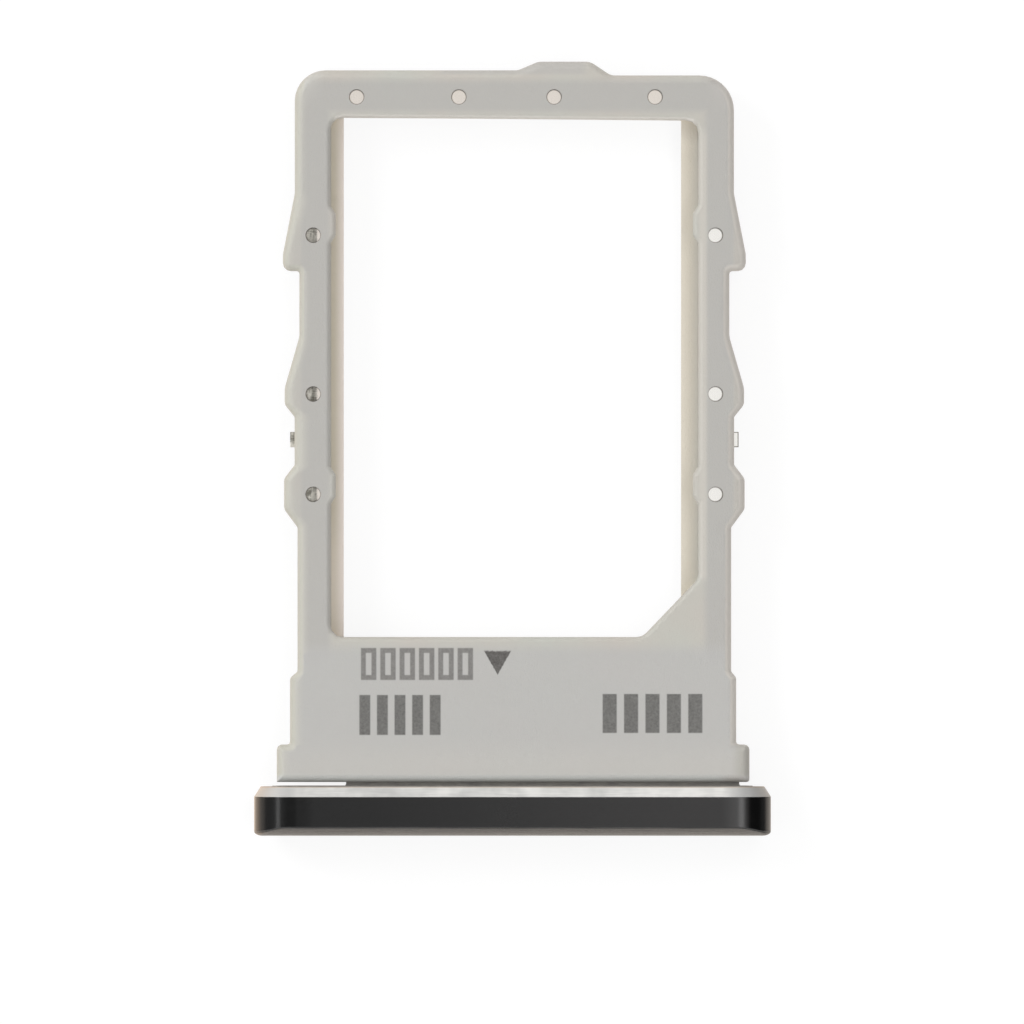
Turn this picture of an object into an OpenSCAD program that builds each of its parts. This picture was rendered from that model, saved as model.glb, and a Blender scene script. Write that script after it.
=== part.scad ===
// Card tray of a phone: a moulded plastic frame over a steel stiffener, with an anodised
// aluminium head insert-moulded into its base.
// X runs across the tray, Y from the head to the far end, and Z is up from the head's lowest line.

/* [Card] */
// Width of the card that the pocket holds
card_w = 8.80; // [8.60:0.05:9.00]
// Length of the card
card_l = 12.30; // [12.00:0.05:12.60]
// Thickness of the card
card_t = 0.67; // [0.60:0.01:0.72]
// Play between the card and the wall on each long side
side_gap = 0.044; // [0.02:0.002:0.08]
// Play between the card and the wall at each end
end_gap = 0.115; // [0.05:0.005:0.20]
// Cut corner of the card, across the tray
cut_x = 1.35; // [1.00:0.05:1.70]
// Cut corner of the card, along the tray
cut_y = 1.41; // [1.00:0.05:1.70]
// Radius where the cut corner meets the walls
cut_r = 0.35; // [0.10:0.05:0.60]
// Radius in the pocket's square corners
pocket_r = 0.30; // [0.10:0.05:0.50]
// How much the pocket's far wall falls from the left side to the right
far_fall = 0.08; // [0.00:0.02:0.16]

/* [Frame thickness] */
// Room between the card and the lips of the nubs
card_lift = 0.03; // [0.02:0.01:0.08]
// Thickness of the ledges that carry the card
ledge_t = 0.26; // [0.22:0.02:0.36]
// Width of the left ledge
ledge_left = 0.315; // [0.20:0.005:0.50]
// Width of the right ledge
ledge_right = 0.41; // [0.20:0.01:0.60]
// Radius on the frame's outer edges
edge_r = 0.20; // [0.10:0.02:0.26]
// Radius on the pocket's upper edge
lip_r = 0.12; // [0.06:0.02:0.14]
// Radius on the edges of the window, on the underside
under_r = 0.08; // [0.04:0.02:0.14]

/* [Retention nubs] */
// How far a nub reaches over the ledge
nub_reach = 0.13; // [0.06:0.01:0.20]
// Height of the nub's lip above the card
nub_t = 0.14; // [0.10:0.01:0.20]
// Length of a nub along the wall
nub_l = 0.92; // [0.80:0.02:1.20]
// Length of each of its two slopes
nub_slope = 0.20; // [0.10:0.02:0.28]
// Middle of the nubs near the head, from the pocket's near wall
nub_near = 3.66; // [3.20:0.02:4.20]
// Middle of the far nubs, from the pocket's near wall
nub_far = 9.97; // [9.40:0.02:10.60]

/* [Rails] */
// Width of a rail at its waist, from the pocket's wall to the outside
rail_w = 0.75; // [0.70:0.01:1.00]
// How much the rail near the base is wider than the waist
rail_low = 0.045; // [0.00:0.005:0.10]
// How much the rail between the bumps is wider than the waist
rail_mid = 0.116; // [0.05:0.002:0.16]
// How much the rail beside the far end is wider than the waist
rail_far = 0.111; // [0.05:0.001:0.16]
// Offset of the frame's middle from the head's middle
frame_x = 0.045; // [-0.10:0.005:0.10]
// Rounding of the bumps' and the barb's outer corners
soft_r = 0.20; // [0.10:0.02:0.30]
// Rounding of the base's outer corners
corner_r = 0.12; // [0.06:0.02:0.16]
// Rounding of the small inner corners
nook_r = 0.08; // [0.04:0.02:0.12]
// Rounding where a long ramp starts or ends
ramp_r = 0.60; // [0.20:0.05:0.90]

/* [Detent bump] */
// Start of the detent bump, from the pocket's near wall
bump_y = 2.65; // [2.40:0.01:2.90]
// Reach of the detent bump beyond the waist
bump_out = 0.37; // [0.25:0.01:0.45]
// Length of its near slope
bump_rise = 0.44; // [0.36:0.02:0.60]
// Length of its flat
bump_l = 0.74; // [0.60:0.02:0.80]
// Length of its far slope
bump_fall = 0.33; // [0.26:0.01:0.40]

/* [Catch] */
// Start of the catch, from the pocket's near wall
catch_y = 5.32; // [5.20:0.01:5.50]
// Reach of the catch beyond the waist
catch_out = 0.356; // [0.25:0.002:0.45]
// Length of its near slope
catch_rise = 0.30; // [0.26:0.01:0.40]
// Length of its flat
catch_l = 0.40; // [0.30:0.02:0.50]
// Length of its long far ramp
catch_ramp = 1.24; // [1.00:0.02:1.50]

/* [Barb] */
// Square foot of the barb, from the pocket's near wall
barb_y = 8.85; // [8.60:0.01:9.20]
// Reach of the barb beyond the waist
barb_out = 0.398; // [0.35:0.002:0.45]
// Length of its flat
barb_l = 0.40; // [0.34:0.02:0.60]
// Length of its long far ramp
barb_ramp = 1.47; // [1.20:0.03:1.80]

/* [Far bar] */
// Width of the bar across the far end
bar_w = 1.104; // [1.00:0.004:1.40]
// How much lower the right shoulder is than the left
shoulder_step = 0.123; // [0.00:0.003:0.16]
// Radius of the left far corner
shoulder_left_r = 0.74; // [0.50:0.02:0.90]
// Radius of the right far corner
shoulder_right_r = 0.84; // [0.50:0.02:0.90]
// Rise of the tab above the left shoulder
tab_rise = 0.21; // [0.10:0.01:0.30]
// Length of the tab's flat
tab_l = 1.25; // [0.90:0.05:1.60]
// Length of each of its slopes
tab_slope = 0.50; // [0.40:0.02:0.60]
// Middle of the tab, from the head's middle
tab_x = 1.25; // [0.80:0.05:1.60]
// Rounding of the tab's corners
tab_r = 0.35; // [0.20:0.05:0.50]

/* [Base] */
// Length of the solid base, from its near edge to the pocket
base_l = 3.50; // [3.20:0.05:4.00]
// Length of the wide flange at its near edge
flange_l = 0.90; // [0.80:0.02:1.10]
// Reach of the flange beyond the waist
flange_out = 0.516; // [0.42:0.004:0.60]
// Length of the base's wider part, flange included
step_l = 2.52; // [2.20:0.02:2.80]
// Reach of that part beyond the waist
step_out = 0.196; // [0.14:0.002:0.26]
// Length of the slope at its end
step_slope = 0.15; // [0.12:0.01:0.20]
// Offset of the base's middle from the head's middle
base_x = 0.015; // [-0.05:0.005:0.05]
// Rounding of the flange's near corner on the right; the left one is square
flange_r = 0.07; // [0.04:0.01:0.12]

/* [Steel stiffener] */
// Thickness of the steel strip
steel_t = 0.15; // [0.10:0.01:0.20]
// Width of the two legs
leg_w = 0.44; // [0.40:0.01:0.46]
// Distance of a leg's middle from the pocket's wall
leg_in = 0.415; // [0.385:0.005:0.425]
// Width of the strip across the far bar
strap_w = 0.56; // [0.50:0.02:0.60]
// Distance of that strip's middle from the pocket's far wall
strap_in = 0.52; // [0.48:0.01:0.56]
// Gap between the end of a leg and the pocket's near wall, inside the base
leg_end = 0.55; // [0.30:0.05:0.70]
// Corner radius of the strip
steel_r = 0.30; // [0.10:0.05:0.40]
// Width of the carrier stubs that stick out of the rails
stub_w = 0.37; // [0.24:0.01:0.40]
// Middle of the stubs, from the pocket's near wall
stub_y = 4.775; // [4.70:0.005:4.90]
// How far a stub sticks out of the rail
stub_out = 0.11; // [0.05:0.01:0.20]

/* [Pin holes] */
// Diameter of the holes that the mould's support pins leave
pin_d = 0.374; // [0.30:0.002:0.40]
// Places of the holes along the far bar, from the frame's middle
bar_pins = [-3.81, -1.34, 0.96, 3.40];
// Places of the holes along each rail, from the pocket's near wall
rail_pins = [3.45, 5.875, 9.71];

/* [Head] */
// Length of the head
head_l = 12.50; // [12.00:0.05:13.00]
// Height of the head
head_h = 1.75; // [1.65:0.05:2.00]
// Depth of the head, from its crown to its rear edge
head_d = 1.204; // [1.00:0.004:1.40]
// Radius of the crowned front face
crown_r = 2.00; // [1.60:0.05:4.00]
// Radius on the edge of the front face
face_r = 0.10; // [0.05:0.01:0.15]
// Depth of the bare chamfer at the rear, along the head's depth
bevel_d = 0.27; // [0.15:0.01:0.35]
// Width of that chamfer
bevel_w = 0.16; // [0.08:0.01:0.25]
// Height of the raised plateau on the rear face
plateau_t = 0.018; // [0.015:0.003:0.06]
// Distance from the plateau to the head's outline
plateau_in = 0.44; // [0.36:0.02:0.50]
// Gap between the plateau and the plastic base
seat_gap = 0.08; // [0.03:0.005:0.12]

/* [Neck and tongue] */
// Thickness of the neck and of the tongue that the base is moulded round
tongue_t = 0.50; // [0.40:0.02:0.60]
// Width of the neck that shows between the head and the base
neck_w = 9.50; // [9.00:0.05:9.80]
// Offset of the neck's middle from the head's middle
neck_x = 0.728; // [0.50:0.004:0.80]
// How far the neck keeps its width inside the base
neck_l = 0.45; // [0.30:0.05:0.60]
// Fillet where the neck meets the head
neck_r = 0.04; // [0.02:0.01:0.06]
// Width of the tongue behind the neck
tongue_w = 8.40; // [8.00:0.05:8.60]
// Length of the tongue behind the neck
tongue_l = 1.75; // [1.50:0.05:1.90]
// Radius of its corners
tongue_r = 0.30; // [0.10:0.05:0.50]
// Diameter of the holes that lock it in the plastic
lock_d = 0.80; // [0.50:0.05:1.00]
// Number of those holes
lock_n = 4; // [2:1:4]
// Distance from one hole to the next
lock_pitch = 2.00; // [1.40:0.05:2.20]

/* [Hidden] */
$fn = 48;
// Fewest straight steps in an outline's corner
arc_steps = 3;
// Radius that each step stands for where that makes more of them
arc_step_r = 0.1;
// Straight steps in a rounded edge
edge_steps = 3;
// Radius of a corner that is left sharp
least_r = 0.02;
// How far a cut runs past the face that it opens
past = 0.5;
// Largest share of an edge that a corner's rounding takes up
fillet_share = 0.46;

tray_t = ledge_t + card_t + card_lift + nub_t;
pocket_hw = card_w / 2 + side_gap;
pocket_l = card_l + 2 * end_gap;
plateau_y = head_d + plateau_t;
base_y = plateau_y + seat_gap;
pocket_y = base_y + base_l;
far_y = pocket_y + pocket_l;
left_y = far_y + bar_w + shoulder_step / 2;
right_y = far_y + bar_w - shoulder_step / 2;
total_l = left_y + tab_rise;
mid_z = head_h / 2;
low_z = mid_z - tray_t / 2;
high_z = mid_z + tray_t / 2;
ledge_z = low_z + ledge_t;
waist_x = pocket_hw + rail_w;
leg_x = pocket_hw + leg_in;
strap_y = far_y + strap_in;
head_r = head_h / 2;
head_run = head_l / 2 - head_r;

function unit(v) = v / norm(v);
function flat(lists) = [for (list = lists) each list];
function reversed(list) = [for (i = [len(list) - 1 : -1 : 0]) list[i]];
function wrap(list, i) = list[(i + len(list)) % len(list)];
function spot(corner) = [corner.x, corner.y];
function left_of(v) = [-v.y, v.x];
function steps_for(r) = max(arc_steps, ceil(r / arc_step_r));

// The corner b = [x, y, radius] between its neighbours a and c, as an arc that fits the two edges.
// An inset corner names its number of steps as well, so that all rings of an outline match.
function arc(a, b, c) =
    let (u = unit(spot(a) - spot(b)),
         v = unit(spot(c) - spot(b)),
         half = acos(u * v) / 2,
         room = fillet_share * min(norm(spot(a) - spot(b)), norm(spot(c) - spot(b))),
         run = min(b.z / tan(half), room),
         middle = spot(b) + unit(u + v) * run / cos(half),
         from = spot(b) + u * run - middle,
         sweep = (180 - 2 * half) * sign(cross(v, u)),
         steps = len(b) > 3 ? b[3] : steps_for(b.z))
    [for (i = [0 : steps])
        let (w = sweep * i / steps)
        middle + [from.x * cos(w) - from.y * sin(w), from.x * sin(w) + from.y * cos(w)]];

// A closed counter-clockwise outline with every corner rounded to its own radius
function rounded(corners) =
    flat([for (i = [0 : len(corners) - 1])
        arc(wrap(corners, i - 1), corners[i], wrap(corners, i + 1))]);

// The same corners with every edge moved inwards by d, or outwards where d is negative
function inset(corners, d) =
    [for (i = [0 : len(corners) - 1])
        let (b = corners[i],
             e = unit(spot(b) - spot(wrap(corners, i - 1))),
             f = unit(spot(wrap(corners, i + 1)) - spot(b)),
             p = spot(b) + d * (left_of(e) + left_of(f)) / (1 + e * f))
        [p.x, p.y, max(b.z - sign(cross(e, f)) * d, least_r), steps_for(b.z)]];

// Quarter-rounds as [inset, z] points: up and over the edge at height z, and in from the edge below
function round_over(r, z) =
    [for (i = [0 : edge_steps]) let (w = 90 * i / edge_steps) [r - r * cos(w), z - r + r * sin(w)]];
function round_under(r, z) =
    [for (p = reversed(round_over(r, 0))) [p.x, z - p.y]];

// The section of a cut that flares a hole at its upper face, and runs a little past it
function flare(r, z) =
    concat([[least_r, z + past], [least_r, z - r]],
        [for (p = round_over(r, z)) [-p.x, p.y]],
        [[-r, z + past]]);

// Sweeps a section of [inset, z] points round an outline, as one closed ring
module swept(corners, section) {
    rings = [for (s = section) [for (p = rounded(inset(corners, s.x))) [p.x, p.y, s.y]]];
    n = len(rings[0]);
    k = len(section);
    polyhedron(
        points = flat(rings),
        faces = [for (j = [0 : k - 1]) for (i = [0 : n - 1])
            let (up = (j + 1) % k, on = (i + 1) % n)
            [j * n + i, up * n + i, up * n + on, j * n + on]]);
}

module at_height(z, h) {
    translate([0, 0, z]) linear_extrude(h) children();
}

// Puts the origin under the middle of the whole tray's length
module placed() {
    translate([0, -total_l / 2, 0]) children();
}

// One side of the frame, from the base to the far corner; s is 1 on the right and -1 on the left
function side(s) =
    let (low_x = waist_x + rail_low,
         mid_x = waist_x + rail_mid,
         far_x = waist_x + rail_far,
         step_end = base_y + step_l,
         bump = pocket_y + bump_y,
         bump_top = bump + bump_rise + bump_l,
         catch = pocket_y + catch_y,
         catch_top = catch + catch_rise + catch_l,
         barb = pocket_y + barb_y,
         barb_top = barb + barb_l)
    [[base_x + s * (waist_x + flange_out), base_y, s > 0 ? flange_r : least_r],
     [base_x + s * (waist_x + flange_out), base_y + flange_l, corner_r],
     [base_x + s * (waist_x + step_out), base_y + flange_l, nook_r],
     [base_x + s * (waist_x + step_out), step_end, corner_r],
     [frame_x + s * low_x, step_end + step_slope, nook_r],
     [frame_x + s * low_x, bump, nook_r],
     [frame_x + s * (waist_x + bump_out), bump + bump_rise, soft_r],
     [frame_x + s * (waist_x + bump_out), bump_top, soft_r],
     [frame_x + s * mid_x, bump_top + bump_fall, nook_r],
     [frame_x + s * mid_x, catch, nook_r],
     [frame_x + s * (waist_x + catch_out), catch + catch_rise, soft_r],
     [frame_x + s * (waist_x + catch_out), catch_top, ramp_r],
     [frame_x + s * waist_x, catch_top + catch_ramp, ramp_r],
     [frame_x + s * waist_x, barb, nook_r],
     [frame_x + s * (waist_x + barb_out), barb, soft_r],
     [frame_x + s * (waist_x + barb_out), barb_top, ramp_r],
     [frame_x + s * far_x, barb_top + barb_ramp, ramp_r],
     s > 0 ? [frame_x + far_x, right_y, shoulder_right_r]
           : [frame_x - far_x, left_y, shoulder_left_r]];

// The tab on the far bar, from right to left
function tab() =
    [[tab_x + tab_l / 2 + tab_slope, right_y, tab_r],
     [tab_x + tab_l / 2, total_l, tab_r],
     [tab_x - tab_l / 2, total_l, tab_r],
     [tab_x - tab_l / 2 - tab_slope, left_y, tab_r]];

function frame_outline() = concat(side(1), tab(), reversed(side(-1)));

// A nub's four corners on the wall of side s, in the order that the pocket's outline runs
function nub(s, y) =
    let (wall = frame_x + s * pocket_hw,
         tip = wall - s * nub_reach,
         half = nub_l / 2,
         flat_half = half - nub_slope)
    [[wall, y - s * half, nook_r],
     [tip, y - s * flat_half, nook_r],
     [tip, y + s * flat_half, nook_r],
     [wall, y + s * half, nook_r]];

function pocket_outline(nubs) =
    let (left = frame_x - pocket_hw,
         right = frame_x + pocket_hw,
         near = pocket_y + nub_near,
         far = pocket_y + nub_far)
    concat(
        [[left, pocket_y, pocket_r],
         [right - cut_x, pocket_y, cut_r],
         [right, pocket_y + cut_y, cut_r]],
        nubs ? concat(nub(1, near), nub(1, far)) : [],
        [[right, far_y - far_fall / 2, pocket_r],
         [left, far_y + far_fall / 2, pocket_r]],
        nubs ? concat(nub(-1, far), nub(-1, near)) : []);

// The window is the pocket less its two ledges, with square corners
function window_outline() =
    let (left = frame_x - pocket_hw + ledge_left,
         right = frame_x + pocket_hw - ledge_right,
         fall = far_fall / (2 * pocket_hw))
    [[left, pocket_y, least_r],
     [frame_x + pocket_hw - cut_x, pocket_y, cut_r],
     [right, pocket_y + cut_y * (cut_x - ledge_right) / cut_x, least_r],
     [right, far_y - far_fall / 2 + fall * ledge_right, least_r],
     [left, far_y + far_fall / 2 - fall * ledge_left, least_r]];

// The plastic before anything is cut out of it, with all its outer edges rounded
module slab() {
    core_in = edge_r + least_r;
    section = concat(
        [[core_in, low_z]],
        round_under(edge_r, low_z),
        round_over(edge_r, high_z),
        [[core_in, high_z]]);
    swept(frame_outline(), section);
    at_height(low_z, tray_t) polygon(rounded(inset(frame_outline(), core_in)));
}

// What the card's pocket, the window below it and their rounded rims take out of the plastic
module card_space() {
    at_height(ledge_z, tray_t) polygon(rounded(pocket_outline(true)));
    at_height(ledge_z, card_t + card_lift) polygon(rounded(pocket_outline(false)));
    at_height(low_z - past, ledge_t + 2 * past) polygon(rounded(window_outline()));
    swept(pocket_outline(true), flare(lip_r, high_z));
    translate([0, 0, low_z]) mirror([0, 0, 1]) swept(window_outline(), flare(under_r, 0));
}

module pin_hole(x, y) {
    translate([x, y, low_z - past]) cylinder(d = pin_d, h = tray_t + 2 * past);
}

// The mould's pins held the steel from above and below, so each hole ends on the steel
module pin_holes() {
    for (x = bar_pins) pin_hole(frame_x + x, strap_y);
    for (s = [-1, 1]) for (y = rail_pins) pin_hole(frame_x + s * leg_x, pocket_y + y);
}

// A bent strip: two legs joined across the far bar, and a stub of the carrier on each leg
module strip() {
    outer = leg_x + leg_w / 2;
    inner = leg_x - leg_w / 2;
    foot = pocket_y - leg_end;
    difference() {
        polygon(rounded([
            [-outer, foot, least_r], [outer, foot, least_r],
            [outer, strap_y + strap_w / 2, steel_r], [-outer, strap_y + strap_w / 2, steel_r]]));
        polygon(rounded([
            [-inner, foot - past, least_r], [inner, foot - past, least_r],
            [inner, strap_y - strap_w / 2, steel_r], [-inner, strap_y - strap_w / 2, steel_r]]));
    }
    translate([0, pocket_y + stub_y]) difference() {
        square([2 * (waist_x + rail_mid + stub_out), stub_w], center = true);
        square([2 * leg_x, 2 * stub_w], center = true);
    }
}

module stiffener() {
    translate([frame_x, 0, 0]) at_height(mid_z - steel_t / 2, steel_t) strip();
}

// The plate behind the head: a wide neck, then the tongue with the holes that lock it in the plastic
module tongue() {
    root_y = base_y + neck_l;
    end_y = root_y + tongue_l;
    neck = [neck_x - neck_w / 2, neck_x + neck_w / 2];
    plate = [base_x - tongue_w / 2, base_x + tongue_w / 2];
    foot = 2 * neck_r;
    at_height(mid_z - tongue_t / 2, tongue_t) difference() {
        polygon(rounded([
            [neck[0] - foot, head_d, least_r], [neck[1] + foot, head_d, least_r],
            [neck[1] + foot, plateau_y, least_r], [neck[1], plateau_y, neck_r],
            [neck[1], root_y, nook_r], [plate[1], root_y, nook_r],
            [plate[1], end_y, tongue_r], [plate[0], end_y, tongue_r],
            [plate[0], root_y, nook_r], [neck[0], root_y, nook_r],
            [neck[0], plateau_y, neck_r], [neck[0] - foot, plateau_y, least_r]]));
        for (i = [0 : lock_n - 1])
            translate([base_x + (i - (lock_n - 1) / 2) * lock_pitch, root_y + tongue_l / 2])
                circle(d = lock_d);
    }
}

// The outer edge of the head's section as [height from the middle, depth from the front]
function head_edge() =
    concat(
        [for (p = reversed(round_over(face_r, 0))) [head_r - p.x, -p.y]],
        [[head_r, head_d - bevel_d], [head_r - bevel_w, head_d]]);

module head_end() {
    rotate([-90, 0, 0]) rotate([0, 0, -90]) rotate_extrude(angle = 180)
        polygon(concat([[0, 0]], head_edge(), [[0, head_d]]));
}

module head_middle() {
    rotate([90, 0, 90]) translate([0, 0, -head_run]) linear_extrude(2 * head_run)
        polygon(concat([for (p = head_edge()) [p.y, p.x]], [for (p = reversed(head_edge())) [p.y, -p.x]]));
}

module crown() {
    translate([0, crown_r, 0]) rotate([0, 90, 0]) cylinder(r = crown_r, h = head_l + 2 * past, center = true);
}

// The low raised field on the rear face
module plateau() {
    r = head_r - plateau_in;
    translate([0, plateau_y, 0]) rotate([90, 0, 0]) linear_extrude(2 * plateau_t) {
        square([2 * head_run, 2 * r], center = true);
        for (s = [-1, 1]) translate([s * head_run, 0]) circle(r);
    }
}

module tray_frame() {
    color([0.74, 0.73, 0.71]) placed() difference() {
        slab();
        card_space();
        pin_holes();
        stiffener();
        tongue();
    }
}

module steel_insert() {
    color([0.82, 0.81, 0.78]) placed() stiffener();
}

module head() {
    color([0.20, 0.20, 0.20]) placed() {
        translate([0, 0, mid_z]) {
            intersection() {
                union() {
                    head_middle();
                    for (s = [0, 1]) mirror([s, 0, 0]) translate([head_run, 0, 0]) head_end();
                }
                crown();
            }
            plateau();
        }
        tongue();
    }
}

tray_frame();
steel_insert();
head();
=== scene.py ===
import math

import bmesh
import bpy
from mathutils import Matrix, Vector


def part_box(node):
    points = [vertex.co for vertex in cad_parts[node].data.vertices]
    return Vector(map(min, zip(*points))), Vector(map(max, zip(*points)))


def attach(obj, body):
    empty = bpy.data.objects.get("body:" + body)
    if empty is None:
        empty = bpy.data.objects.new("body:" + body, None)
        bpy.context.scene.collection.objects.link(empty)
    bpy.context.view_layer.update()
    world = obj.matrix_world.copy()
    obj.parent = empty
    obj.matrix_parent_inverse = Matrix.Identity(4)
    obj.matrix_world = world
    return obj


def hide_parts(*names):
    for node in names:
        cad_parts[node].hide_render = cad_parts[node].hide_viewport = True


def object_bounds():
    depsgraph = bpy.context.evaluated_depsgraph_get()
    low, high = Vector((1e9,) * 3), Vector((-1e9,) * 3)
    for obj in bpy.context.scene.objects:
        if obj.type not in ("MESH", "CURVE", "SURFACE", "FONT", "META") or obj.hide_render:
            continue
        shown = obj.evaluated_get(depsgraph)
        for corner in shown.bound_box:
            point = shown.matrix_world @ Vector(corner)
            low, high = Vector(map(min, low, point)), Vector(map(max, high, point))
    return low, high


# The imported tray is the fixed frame: +X across it, +Y from the head to the far end, +Z up.
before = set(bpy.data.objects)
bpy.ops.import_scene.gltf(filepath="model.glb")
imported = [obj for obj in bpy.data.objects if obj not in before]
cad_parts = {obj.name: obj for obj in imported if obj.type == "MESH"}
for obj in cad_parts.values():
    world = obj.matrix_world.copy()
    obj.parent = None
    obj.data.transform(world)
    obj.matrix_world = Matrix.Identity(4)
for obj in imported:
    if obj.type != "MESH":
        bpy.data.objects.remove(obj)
cad_low, cad_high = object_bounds()
mm = 0.001


# Camera
# A long lens looks straight down, as over a copy stand, so the tray's walls hardly show.
# The picture is 24.7 mm wide at the frame's upper face, and its middle lies towards the head.
picture_w = 24.734 * mm
picture_x = -0.012 * mm
picture_y = cad_low.y + 7.826 * mm
camera_h = 600 * mm

frame_low, frame_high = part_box("tray_frame")
camera = bpy.data.objects.new("camera", bpy.data.cameras.new("camera"))
camera.location = (picture_x, picture_y, frame_high.z + camera_h)
camera.data.lens = camera.data.sensor_width * camera_h / picture_w
camera.data.clip_start = 10 * mm
camera.data.clip_end = 10
bpy.context.collection.objects.link(camera)
bpy.context.scene.camera = camera
bpy.context.scene.view_settings.view_transform = "Standard"


# Studio
# A white table in a light tent that is open at its sides, so the head's round ends mirror dark.
# In them the table glows warm beside the left end and goes dark past the right end. A key panel
# stands at the upper left, and a strip light hangs along the tray on each side.
class Value:
    """One output in a node tree. Python's operators on it add Math nodes to the tree."""

    def __init__(self, socket):
        self.socket = socket

    def node(self, kind, settings, inputs, output=0):
        """Adds any node: its settings first, then the numbers or links of its inputs."""
        made = self.socket.id_data.nodes.new(kind)
        for name, value in settings.items():
            setattr(made, name, value)
        wire(made, inputs)
        return Value(made.outputs[output])

    def math(self, operation, *terms):
        return self.node("ShaderNodeMath", {"operation": operation}, dict(enumerate(terms)))

    def __add__(self, other):
        return self.math("ADD", self, other)

    def __radd__(self, other):
        return self.math("ADD", other, self)

    def __sub__(self, other):
        return self.math("SUBTRACT", self, other)

    def __rsub__(self, other):
        return self.math("SUBTRACT", other, self)

    def __mul__(self, other):
        return self.math("MULTIPLY", self, other)

    def __rmul__(self, other):
        return self.math("MULTIPLY", other, self)

    def __abs__(self):
        return self.math("ABSOLUTE", self)

    def least(self, other):
        return self.math("MINIMUM", self, other)

    def most(self, other):
        return self.math("MAXIMUM", self, other)

    def rise(self, start, end):
        """0 up to start and 1 from end on, with a soft change between them."""
        return self.node("ShaderNodeMapRange", {"interpolation_type": "SMOOTHSTEP"},
                         {"Value": self, "From Min": start, "From Max": end})

    def span(self, start, full, fade, end):
        """0 outside start and end and 1 from full to fade, with soft changes between them."""
        return self.rise(start, full) * (1 - self.rise(fade, end))

    def blend(self, first, second):
        """The first colour where this value is 0 and the second where it is 1."""
        return self.node("ShaderNodeMix", {"data_type": "RGBA"}, {0: self, 6: first, 7: second}, 2)

    def axis(self, number):
        return self.node("ShaderNodeSeparateXYZ", {}, {0: self}, number)


def wire(node, inputs):
    """Sets a node's inputs to numbers or colours, or links values to them."""
    for name, value in inputs.items():
        if isinstance(value, Value):
            node.id_data.links.new(value.socket, node.inputs[name])
        else:
            node.inputs[name].default_value = value


def colour(red, green, blue):
    """A colour that the eye gives as 0 to 255, in the linear form that a shader takes."""
    return (*(((c / 255 + 0.055) / 1.055) ** 2.4 for c in (red, green, blue)), 1)


def seen_rays(tree):
    """1 for the rays by which the camera, polished faces and clear parts see a thing."""
    path = tree.nodes.new("ShaderNodeLightPath")
    by_eye, by_gloss, by_glass = (Value(path.outputs[name]) for name in (
        "Is Camera Ray", "Is Glossy Ray", "Is Transmission Ray"))
    return by_eye, by_eye.most(by_gloss).most(by_glass)


tent_light, ceiling_light = 0.95, 0.88
open_left, open_right, low_left = 0.20, 0.03, 0.145
world = bpy.data.worlds.new("light_tent")
bpy.context.scene.world = world
world.use_nodes = True
sky = world.node_tree.nodes["Background"]
by_eye, seen = seen_rays(world.node_tree)
way = Value(world.node_tree.nodes.new("ShaderNodeTexCoord").outputs["Generated"])
sideways, endways = way.axis(0), way.axis(1)
ceiling = sideways.span(-0.10, -0.02, 0.34, 0.50)
low_light = low_left * (1 - sideways.rise(-0.9, -0.3))
open_side = low_light + open_left + (open_right - open_left) * sideways.rise(0, 0.2)
tray_sides = open_side + (ceiling_light - open_side) * ceiling
tent = tray_sides + (tent_light - tray_sides) * abs(endways).rise(0.25, 0.55)
wire(sky, {"Color": (1, 1, 1, 1), "Strength": tent.most(by_eye)})

table_half = 1.5
table_glow, left_glow = 0.86, 0.85
bm = bmesh.new()
bmesh.ops.create_grid(bm, size=table_half)
table_mesh = bpy.data.meshes.new("table")
bm.to_mesh(table_mesh)
bm.free()
table = bpy.data.objects.new("table", table_mesh)
table.location.z = cad_low.z
bpy.context.collection.objects.link(table)

white_table = bpy.data.materials.new("white_table")
white_table.use_nodes = True
table_paint = white_table.node_tree.nodes["Principled BSDF"]
by_eye, seen = seen_rays(white_table.node_tree)
on_table = Value(white_table.node_tree.nodes.new("ShaderNodeTexCoord").outputs["Object"])
table_x, table_y = on_table.axis(0), on_table.axis(1)
past_left = cad_low.x - table_x
past_right = table_x - cad_high.x
behind_front = (table_y + 0.4 * table_x).rise(-7.6 * mm, -6.8 * mm)
left_sheet = past_left.span(-0.25 * mm, 0.15 * mm, 1.25 * mm, 4.75 * mm)
right_dark = past_right.rise(1.95 * mm, 2.95 * mm) * behind_front
mirrored = 1 + left_glow * left_sheet - right_dark
warm = left_sheet.blend(colour(255, 243, 230), colour(255, 230, 206))
wire(table_paint, {
    "Base Color": seen.blend(colour(225, 225, 225), colour(110, 110, 110)),
    "Emission Color": by_eye.blend(warm, (1, 1, 1, 1)),
    "Emission Strength": table_glow * (by_eye + (seen - by_eye) * mirrored),
    "Roughness": 1, "Specular IOR Level": 0})
table_mesh.materials.append(white_table)

for name, lamp_place, size, radiance in (
        ("key_panel", (-0.36, 0.21, 0.29), (0.20, 0.20), 7.65),
        ("left_strip", (-0.32, 0.00, 0.39), (0.095, 0.60), 2.5),
        ("right_strip", (0.195, 0.00, 0.462), (0.14, 0.60), 2.12)):
    lamp = bpy.data.lights.new(name, "AREA")
    lamp.shape = "RECTANGLE"
    lamp.size, lamp.size_y = size
    lamp.energy = radiance * math.pi * lamp.size * lamp.size_y
    panel = bpy.data.objects.new(name, lamp)
    panel.location = lamp_place
    panel.rotation_euler = Vector(lamp_place).to_track_quat("Z", "X").to_euler()
    bpy.context.collection.objects.link(panel)


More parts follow.
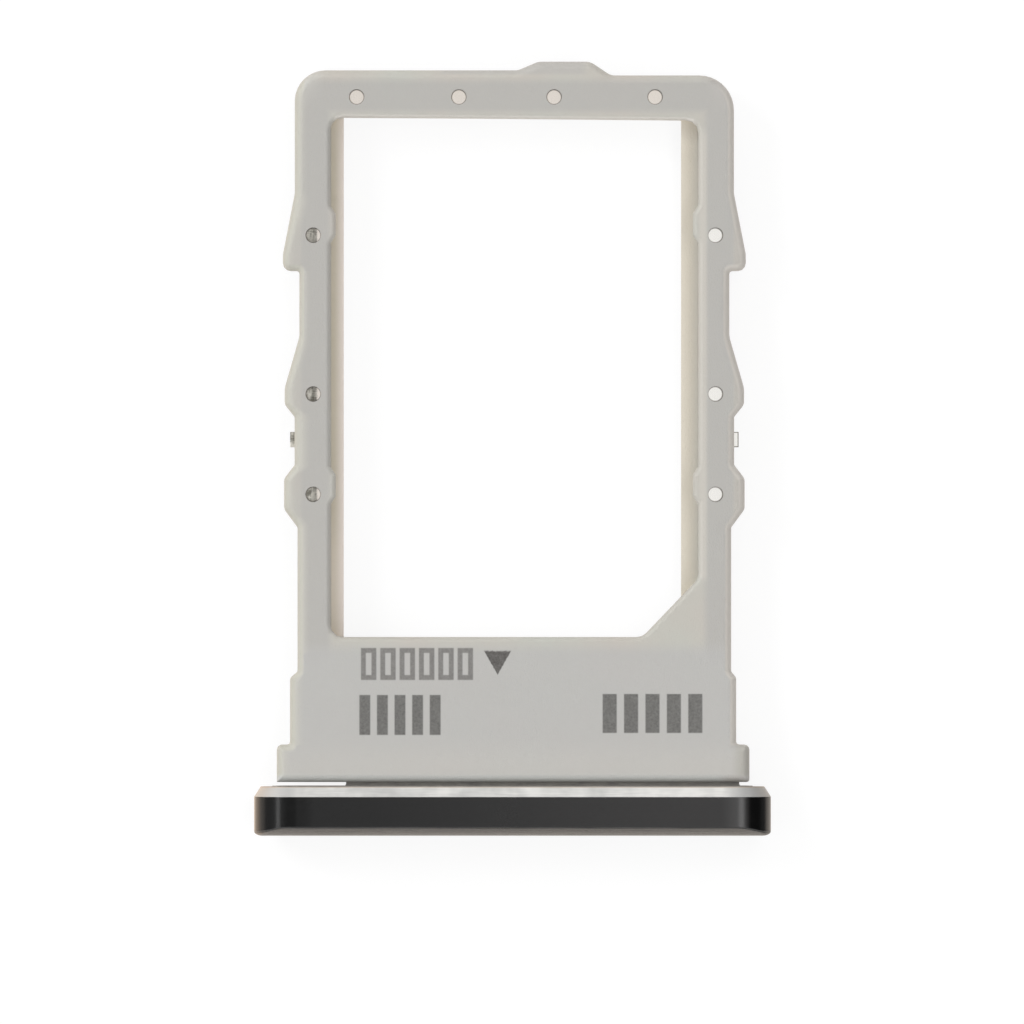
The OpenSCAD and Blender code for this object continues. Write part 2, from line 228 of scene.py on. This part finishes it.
# Steel insert
# One strip stamped from spring steel, which stiffens the rails and the far bar. It lies inside
# the moulding and shows at the bottom of the pin holes and as two sheared stubs at the sides.
def finish(name):
    """A new material: the material, its shader and the place on the piece in millimetres."""
    made = bpy.data.materials.new(name)
    made.use_nodes = True
    on_piece = Value(made.node_tree.nodes.new("ShaderNodeTexCoord").outputs["Object"])
    place = on_piece.node("ShaderNodeVectorMath", {"operation": "SCALE"}, {0: on_piece, "Scale": 1 / mm})
    return made, made.node_tree.nodes["Principled BSDF"], place


def noise(place, grain, stretch=(1, 1, 1), detail=2):
    """Soft random spots of about the grain's size in millimetres, from about -0.4 to 0.4."""
    spread = place.node("ShaderNodeVectorMath", {"operation": "MULTIPLY"}, {0: place, 1: stretch})
    return 2 * spread.node("ShaderNodeTexNoise", {}, {
        "Vector": spread, "Scale": 1 / grain, "Detail": detail}) - 1


def bump(height, depth):
    """A surface normal for a relief of the given depth in millimetres."""
    return height.node("ShaderNodeBump", {}, {"Height": height, "Distance": depth * mm})


def solid_copy(node):
    """A CAD solid's surface as one closed mesh."""
    weld = 0.0005 * mm
    bm = bmesh.new()
    bm.from_mesh(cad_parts[node].data)
    bmesh.ops.remove_doubles(bm, verts=bm.verts, dist=weld)
    bmesh.ops.dissolve_degenerate(bm, edges=bm.edges, dist=weld)
    return bm


def reach(face, crosses):
    """The faces that are reached from one face over the edges that may be crossed."""
    reached, found = {face}, [face]
    while found:
        near = {f for e in found.pop().edges if crosses(e) for f in e.link_faces} - reached
        found += near
        reached |= near
    return reached


def corner_normals(bm):
    """A normal for each corner of each face. Round a corner each whole flat counts by its area."""
    flat_angle = math.radians(0.1)
    flat_of, pull = {}, {}
    for face in bm.faces:
        if face not in flat_of:
            flat = reach(face, lambda e: e.calc_face_angle(0) < flat_angle)
            flat_of.update((f, face) for f in flat)
            pull[face] = sum((f.normal * f.calc_area() for f in flat), Vector())
    normals = []
    for face in bm.faces:
        for vert in face.verts:
            fan = reach(face, lambda e: e.smooth and vert in e.verts)
            normals.append(sum((pull[f] for f in {flat_of[f] for f in fan}), Vector()).normalized())
    return normals


def stand_in(name, bm, sharp_angle, node, finishes):
    """The piece that stands for a CAD node, with smooth curves, flat flats and sharp corners."""
    bm.normal_update()
    for edge in bm.edges:
        edge.smooth = edge.calc_face_angle(0) < math.radians(sharp_angle)
    for face in bm.faces:
        face.smooth = True
    normals = corner_normals(bm)
    mesh = bpy.data.meshes.new(name)
    bm.to_mesh(mesh)
    bm.free()
    mesh.normals_split_custom_set(normals)
    for material in finishes:
        mesh.materials.append(material)
    piece = bpy.data.objects.new(name, mesh)
    bpy.context.collection.objects.link(piece)
    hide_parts(node)
    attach(piece, "root")


bar_pins = [(pin_x, 8.50) for pin_x in (-3.765, -1.295, 1.005, 3.445)]
rail_pins = [(pin_x, pin_y) for pin_x in (-4.81, 4.90) for pin_y in (-1.10, 1.325, 5.16)]
pin_r = 0.185
stub_y, stub_half, stub_root = 0.225, 0.175, 5.2
stub_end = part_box("steel_insert")[1].x / mm

steel, steel_paint, place = finish("scratched_spring_steel")
x, y = place.axis(0), place.axis(1)
scratches = noise(place, 0.03, (1, 0.12, 1)) + noise(place, 0.02, (0.15, 1, 1))
tarnish = noise(place, 0.14, detail=4)

# The spots in the left rail are darker, mottled and matt, and all others are clean.
bright = x.rise(-4.77, -4.70)
worn = (1 - 0.9 * bright) * scratches
dark_left_spots = (0.55 + 1.6 * tarnish + 0.8 * scratches).blend(colour(143, 140, 130), colour(241, 237, 227))
clean = (x.rise(4, 4.7) + worn).blend(colour(238, 230, 221), colour(255, 253, 248))

# A ring of painted shade darkens the steel at the edge of each pin hole, and the steel is also darker
# along the sheared stubs' ends and sides.
level_place = place.node("ShaderNodeVectorMath", {"operation": "MULTIPLY"}, {0: place, 1: (1, 1, 0)})
from_pin = 1
for pin in bar_pins + rail_pins:
    from_pin = level_place.node("ShaderNodeVectorMath", {"operation": "DISTANCE"}, {
        0: level_place, 1: (*pin, 0)}, 1).least(from_pin)
pin_ring_shade = from_pin.rise(pin_r - 0.035, pin_r) * (1 - abs(x).rise(stub_root - 0.1, stub_root))
stub_sides = x.rise(stub_root, stub_root + 0.1) * abs(y - stub_y).rise(stub_half - 0.025, stub_half)
sheared = x.rise(stub_end - 0.035, stub_end - 0.010).most(stub_sides)
pin_shade_and_stub_edges = pin_ring_shade.most(sheared)
wire(steel_paint, {
    "Base Color": pin_shade_and_stub_edges.blend(bright.blend(dark_left_spots, clean), colour(140, 134, 126)),
    "Metallic": 1.0,
    "Roughness": 0.38 - 0.26 * bright + 0.05 * worn, "Normal": bump(worn, 0.002)})
stand_in("stamped_insert", solid_copy("steel_insert"), 30, "steel_insert", [steel])


# Head
# Machined from aluminium bar, brushed along its length on the crowned front, then anodised
# black. The rear chamfer is cut afterwards, so it is bare metal. The neck behind it carries
# the tongue that the plastic base is moulded round.
middle_z = (cad_low.z + cad_high.z) / 2
head_r = (cad_high.z - cad_low.z) / 2
head_run = (cad_high.x - cad_low.x) / 2 - head_r
head_y = cad_low.y
head_d = 1.192 * mm
crown_r = 2.0 * mm
face_in, face_back = 0.20 * mm, 0.11 * mm
chamfer_d, chamfer_w = 0.248 * mm, 0.16 * mm
step_in, step_t = 0.44 * mm, 0.018 * mm
face_bevel, rear_bevel = 0.035 * mm, 0.012 * mm
neck_start, neck_run_in = 2 * step_t, 0.2 * mm
round_steps = 96
face_rings = 14
edge_rings = 6

BRUSHED, SATIN, BARE, REAR = range(4)


def stadium(bm, radius, depth):
    """One full-round outline of the head. Its depth behind the front varies with its height."""
    turned = Matrix.Rotation(math.pi / 2, 3, "X") @ Matrix.Rotation(math.pi / round_steps, 3, "Z")
    ring = bmesh.ops.create_circle(bm, segments=round_steps, radius=radius)["verts"]
    bmesh.ops.rotate(bm, verts=ring, matrix=turned)
    for side in (-1, 1):
        half = [v for v in ring if v.co.x * side > 0]
        bmesh.ops.translate(bm, verts=half, vec=(side * head_run, 0, 0))
    for v in ring:
        v.co.y = head_y + depth(v.co.z)
        v.co.z += middle_z
    return list({e for v in ring for e in v.link_edges})


def crown(z):
    return crown_r - math.sqrt(crown_r ** 2 - z ** 2)


def crown_or_edge(edge):
    """The crown's depth or the rounded edge's, whichever is more, with no kink between them."""
    return lambda z: (edge ** 4 + crown(z) ** 4) ** 0.25


def join_rings(bm, rings, material):
    for first, second in zip(rings, rings[1:]):
        for face in bmesh.ops.bridge_loops(bm, edges=first + second)["faces"]:
            face.material_index = material


bm = bmesh.new()
flat_r = head_r - face_in
front = [stadium(bm, flat_r * (i + 0.5) / (face_rings + 0.5), crown) for i in range(face_rings + 1)]
for i in range(1, edge_rings + 1):
    turn = math.pi / 2 * i / edge_rings
    front.append(stadium(bm, flat_r + face_in * math.sin(turn),
                         crown_or_edge(face_back * (1 - math.cos(turn)))))
band_end = stadium(bm, head_r, lambda z: head_d - chamfer_d)
chamfer_end = stadium(bm, head_r - chamfer_w, lambda z: head_d)
# The rear rises a little to its step, because two rings in one plane may be joined crosswise.
step = [stadium(bm, head_r - step_in, lambda z, d=d: head_d + d) for d in (0.1 * step_t, step_t)]
join_rings(bm, front, BRUSHED)
join_rings(bm, [front[-1], band_end], SATIN)
join_rings(bm, [band_end, chamfer_end], BARE)
join_rings(bm, [chamfer_end, *step], REAR)
for ring, material in ((front[0], BRUSHED), (step[-1], REAR)):
    bmesh.ops.contextual_create(bm, geom=ring)["faces"][0].material_index = material
bmesh.ops.bevel(bm, geom=front[-1], offset=face_bevel, offset_type="OFFSET", segments=3,
                profile=0.5, affect="EDGES", material=-1)
bmesh.ops.bevel(bm, geom=chamfer_end, offset=rear_bevel, offset_type="OFFSET", segments=2,
                profile=0.5, affect="EDGES", material=-1)
bmesh.ops.recalc_face_normals(bm, faces=bm.faces)
head_mesh = bpy.data.meshes.new("head_shell")
bm.to_mesh(head_mesh)
bm.free()

# The neck and the tongue are the solid's own, cut off behind the head and run on into it.
bm = solid_copy("head")
bmesh.ops.bisect_plane(bm, geom=bm.verts[:] + bm.edges[:] + bm.faces[:], plane_no=(0, 1, 0),
                       plane_co=(0, head_y + head_d + neck_start, 0), clear_inner=True)
cut = [e for e in bm.edges if e.is_boundary]
run_on = bmesh.ops.extrude_edge_only(bm, edges=cut)["geom"]
bmesh.ops.translate(bm, verts=[v for v in run_on if isinstance(v, bmesh.types.BMVert)],
                    vec=(0, -neck_run_in, 0))
bmesh.ops.holes_fill(bm, edges=[e for e in bm.edges if e.is_boundary])
for face in bm.faces:
    face.material_index = REAR
bm.from_mesh(head_mesh)
bmesh.ops.recalc_face_normals(bm, faces=bm.faces)
head_with_neck = bm

brushed, brushed_paint, place = finish("brushed_black_anodising")
streaks = noise(place, 0.035, (0.03, 1, 1), 4) + 0.6 * noise(place, 0.012, (0.01, 1, 1))
wire(brushed_paint, {
    "Base Color": (0.5 + streaks).blend(colour(34, 34, 34), colour(66, 66, 65)),
    "Roughness": 0.30 + 0.2 * streaks, "Normal": bump(streaks, 0.006)})

satin, satin_paint, place = finish("satin_black_anodising")
grain = noise(place, 0.02, (0.25, 1, 1)) + 0.5 * noise(place, 0.25)
x = place.axis(0)
# Painted shade: the black is darker towards the band's left end. It is also lighter near the right end.
shade_ramp = x.rise(-5.4, 5.4) * (1 - x.rise(5.55, 5.8)) + 0.1 * grain
right_end_lighter = x.rise(5.0, 5.5) * (1 - x.rise(5.55, 5.75))
black = right_end_lighter.blend(shade_ramp.blend(colour(9, 9, 9), colour(42, 41, 41)), colour(60, 59, 59))

# The band's tones were set against the photo, and so was this slope at its left end.
slope = 1.2 * x.rise(-5.58, -5.20) + x.rise(-5.50, -4.80)
wire(satin_paint, {
    "Base Color": black, "Specular IOR Level": 0.45, "Roughness": 0.22 + 0.05 * grain,
    "Normal": bump(0.04 * grain + slope, 0.018)})

bare, bare_paint, place = finish("bare_cut_aluminium")
cut_marks = noise(place, 0.03, (0.05, 1, 1), 3)
mottle = noise(place, 0.5)
x = place.axis(0)
rear_y = (head_y + head_d) / mm
# A warm line of painted light runs along the chamfer's rear edge.
warm_edge_light = place.axis(1).rise(rear_y - 0.038, rear_y + 0.002)
evenly = 0.5 + 0.5 * cut_marks + 0.8 * mottle + 0.25 * x.rise(1, 3)
metal = evenly.blend(colour(196, 196, 194), colour(232, 231, 228))
# The chamfer is painted darker at the head's round ends, as shade.
metal = abs(x).rise(5.0, 5.6).blend(metal, colour(190, 190, 189))
wire(bare_paint, {
    "Base Color": warm_edge_light.blend(metal, colour(192, 175, 158)),
    "Metallic": 1.0, "Roughness": 0.58 + 0.1 * cut_marks, "Normal": bump(cut_marks, 0.003)})

rear, rear_paint, place = finish("worn_rear_anodising")
wear = noise(place, 0.12, (0.4, 1, 1), 3)
wire(rear_paint, {
    "Base Color": (0.5 + wear).blend(colour(135, 132, 128), colour(168, 164, 158)),
    "Roughness": 0.45 + 0.1 * wear, "Normal": bump(wear, 0.002)})
stand_in("machined_head", head_with_neck, 25, "head", [brushed, satin, bare, rear])


# Frame
# Off-white glass-filled plastic, moulded in one shot round the steel and the tongue. The mould
# leaves it matt, its edges are rounded, and the assembly marks are burnt in by laser.
plastic, plastic_paint, place = finish("matt_moulded_plastic")
x, y, z = (place.axis(i) for i in range(3))
pocket_x = 0.045
off_middle = abs(x - pocket_x)
cloud = noise(place, 1.6)
speckle = noise(place, 0.05)
fibres = noise(place, 0.03, (1, 0.5, 1), 3)
tone = (0.5 + cloud).blend(colour(185, 179, 171), colour(182, 182, 174))

# The tones from here on were set against the photo, so they are partly painted light and shade and
# partly the plastic's own colour. From above it is darker over the steel, on the base and on the tab.
steel_x, steel_out, steel_far = 0.13, 4.90, 8.52
from_steel = abs((abs(x - steel_x) - steel_out).most(y - steel_far))
outer_left = (1 - x.rise(-5.0, -4.8)) * (1 - y.rise(5.5, 6.5))
over_steel = (1 - from_steel.rise(0.25, 0.50)).most(0.5 * outer_left) * y.rise(-5.4, -4.6)
on_base = 1 - y.rise(-5.0, -4.6)
base_tone = y.rise(-7.8, -6.8).blend(colour(182, 180, 176), colour(175, 174, 172))
on_tab = y.rise(9.0, 9.1) * (1 - abs(x).rise(1.6, 1.9))
tone = (0.9 * over_steel).blend(tone, colour(171, 169, 165))
tone = (0.8 * on_base).blend(tone, base_tone)
tone = on_tab.blend(tone, colour(177, 174, 169))

# Painted light makes the far corners and the right rail's inner lip lighter, and painted shade makes the
# rail's outer wings darker.
far_corners = (off_middle + 0.8 * y).rise(11.4, 12.5) * y.rise(8.0, 8.6) * off_middle.rise(4.4, 4.9)
corner_tone = x.rise(-1, 1).blend(colour(186, 184, 178), colour(184, 179, 175))
lip = (1 - abs(x - 4.6).rise(0.03, 0.14)) * y.span(-3.3, -3.0, 7.4, 7.9)
wings = x.rise(5.3, 5.4) * y.rise(-4.9, -4.7)
tone = far_corners.blend(tone, corner_tone)
tone = lip.blend(tone, colour(190, 186, 178))
tone = wings.blend(tone, colour(177, 173, 166))

# Painted light makes the left rail's rim lighter along its bump, catch and barb and down the base's
# steps, and tints the rail's outer side.
frame_top = frame_high.z / mm
below_top = 1 - z.rise(frame_top - 0.025, frame_top - 0.005)
bumps = 0.30 * (y.rise(-1.90, -1.46) - y.rise(-0.72, -0.39)) + 0.29 * (
    y.rise(0.77, 1.07) - y.rise(1.47, 2.71)) + 0.35 * (y.rise(4.29, 4.31) - y.rise(4.70, 6.17))
steps = 0.15 * (1 - y.rise(-5.0, -4.9)) + 0.33 * (1 - y.rise(-7.22, -7.14)) + 0.07 * y.rise(5.9, 6.3)
left_rim = (1 - below_top) * (1 - (x + 5.18 + bumps + steps).rise(-0.02, 0.33))
left_edge = below_top * (1 - x.rise(-5.05, -5.00))
tone = left_rim.blend(tone, colour(189, 187, 178))
tone = left_edge.blend(tone, colour(184, 182, 172))

# Painted light makes the right edge, the pocket's far wall and most of the near edge lighter. Painted
# shade darkens the flange at its right end, and the right edge's painted light spreads out round the far
# corner.
widen = 0.25 * y.rise(8.2, 8.5)
right_edge = below_top * x.rise(5.05 - widen, 5.10 + widen) * y.rise(-7.22, -7.12)
far_wall = below_top * y.span(7.7, 7.8, 8.2, 8.3) * (1 - off_middle.rise(4.3, 4.4))
flange_end = x.rise(5.25, 5.55) * (1 - y.rise(-7.22, -7.12))
near_edge = 1 - y.rise(-7.98, -7.82)
near_tone = x.rise(4.9, 5.3).blend(colour(189, 190, 187), colour(178, 175, 171))
tone = right_edge.blend(tone, colour(197, 192, 185))
tone = far_wall.blend(tone, colour(209, 205, 198))
tone = flange_end.blend(tone, colour(170, 167, 160))
tone = near_edge.blend(tone, near_tone)

# The ledges are painted with the light they take from the walls above them, most at the far ends, and
# with painted shade towards the foot of each wall.
ledge_near, ledge_far, ledge_t = -4.6, 8.04, 0.26
along = (ledge_far - y).least(y - ledge_near).rise(0, 0.1)
above_ledge = z - frame_low.z / mm - ledge_t
ledge = along * above_ledge.span(-0.085, -0.035, 0.035, 0.095) * off_middle.span(3.98, 4.03, 4.42, 4.44)
ledge_end = y.rise(7.0, 7.8) * (0.2 + 0.35 * x.rise(-1, 1))
left_wall = y.rise(-3.2, -1.2).blend(colour(220, 210, 194), colour(206, 197, 178))
left_ledge = off_middle.rise(4.07, 4.40).blend(colour(251, 240, 232), left_wall)
right_ledge = off_middle.rise(4.19, 4.46).blend(colour(209, 202, 188), colour(196, 192, 182))
tone = ledge.blend(tone, x.rise(-1, 1).blend(left_ledge, right_ledge))
tone = (ledge * ledge_end).blend(tone, colour(252, 244, 230))


def bars(left, right, low, high, pitch, filled):
    """Upright bars in one row between two sides, each filled for a part of its pitch."""
    across = (x - left).math("MODULO", x - left, pitch)
    inside = (0.002 + x.math("MINIMUM", x - left, right - x)).rise(0, 0.004)
    beside = (filled * pitch / 2 - abs(across - pitch / 2)).rise(-0.02, 0.02)
    height = x.math("MINIMUM", y - low, high - y).rise(-0.02, 0.02)
    return inside * beside * height


def boxes(left, right, low, high, pitch, filled, line):
    """A row of plain hollow boxes: bars less smaller bars."""
    inner = filled - 2 * line / pitch
    return bars(left, right, low, high, pitch, filled) * (
        1 - bars(left, right, low + line, high - line, pitch, inner))


upper = z.rise(frame_top - 0.025, frame_top - 0.015)
arrow_x, arrow_tip, arrow_base, arrow_slope = -0.36, -5.460, -4.885, 1.764
ragged_y = y + 0.03 * noise(place, 0.06)
arrow_sides = (ragged_y - arrow_tip - arrow_slope * abs(x - arrow_x)).rise(-0.03, 0.03)
arrow = arrow_sides * (arrow_base - ragged_y).rise(-0.03, 0.03)
burnt = [
    (arrow, colour(72, 69, 66)),
    (boxes(-3.708, -0.906, -5.585, -4.812, 0.467, 0.80, 0.12), colour(114, 112, 109)),
    (bars(-3.780, -1.655, -6.913, -5.947, 0.425, 0.62), colour(91, 90, 87)),
    (bars(2.089, 4.674, -6.865, -5.923, 0.517, 0.66), colour(91, 90, 87))]
for mark, mark_colour in burnt:
    tone = (upper * mark * (0.92 + 0.2 * speckle)).blend(tone, mark_colour)
wire(plastic_paint, {
    "Base Color": tone, "Roughness": 0.5 + 0.1 * cloud + 0.1 * fibres,
    "Normal": bump(fibres + 0.4 * speckle, 0.004)})
stand_in("moulded_frame", solid_copy("tray_frame"), 40, "tray_frame", [plastic])
